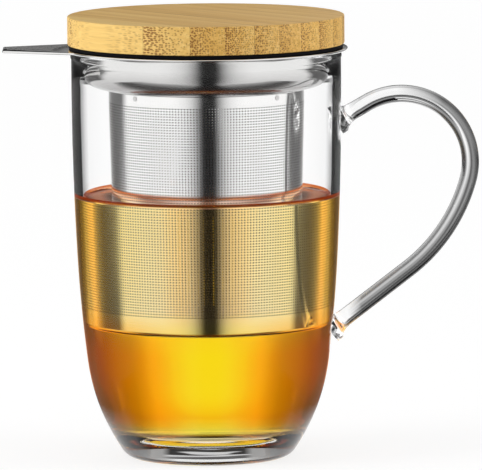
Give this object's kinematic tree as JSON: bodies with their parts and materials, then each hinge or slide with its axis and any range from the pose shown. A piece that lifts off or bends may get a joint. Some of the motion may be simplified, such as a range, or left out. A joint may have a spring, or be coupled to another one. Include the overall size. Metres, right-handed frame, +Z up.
{
  "type": "lidded tea mug with infuser",
  "caption": "Tall clear glass tea mug with a looped glass handle, a drop-in perforated steel infuser basket and a round bamboo lid with a silicone seal.",
  "frame": {"origin": "centre of the flat foot of the mug, on the surface it stands on", "axes": "+Z up along the mug's axis, +X toward the handle, the infuser's tab toward -X"},
  "size_m": [0.1498, 0.0894, 0.1401],
  "materials": {
    "clear_glass": "clear, fire-polished",
    "pressed_steel": "satin, pressed sheet",
    "perforated_steel": "satin, finely perforated",
    "black_silicone": "matt moulded",
    "bamboo": "smooth sanded, lightly oiled"
  },
  "bodies": {
    "mug": {"mug_body": "clear_glass", "handle": "clear_glass"},
    "infuser": {"collar": "pressed_steel", "basket_wall": "perforated_steel", "basket_foot": "pressed_steel", "spot_welds": "pressed_steel"},
    "lid": {"lid_seal": "black_silicone", "lid_boss": "bamboo", "lid_strip_1": "bamboo", "lid_strip_2": "bamboo", "lid_strip_3": "bamboo", "lid_strip_4": "bamboo", "lid_strip_5": "bamboo", "lid_strip_6": "bamboo", "lid_strip_7": "bamboo", "lid_strip_8": "bamboo", "lid_strip_9": "bamboo", "lid_strip_10": "bamboo", "lid_strip_11": "bamboo"}
  },
  "joints": [
    {"name": "infuser_lift", "type": "slide", "parent": "mug", "child": "infuser", "axis": [0, 0, 1], "range_m": [0, 0.1]},
    {"name": "lid_lift", "type": "slide", "parent": "infuser", "child": "lid", "axis": [0, 0, 1], "range_m": [0, 0.05]}
  ]
}
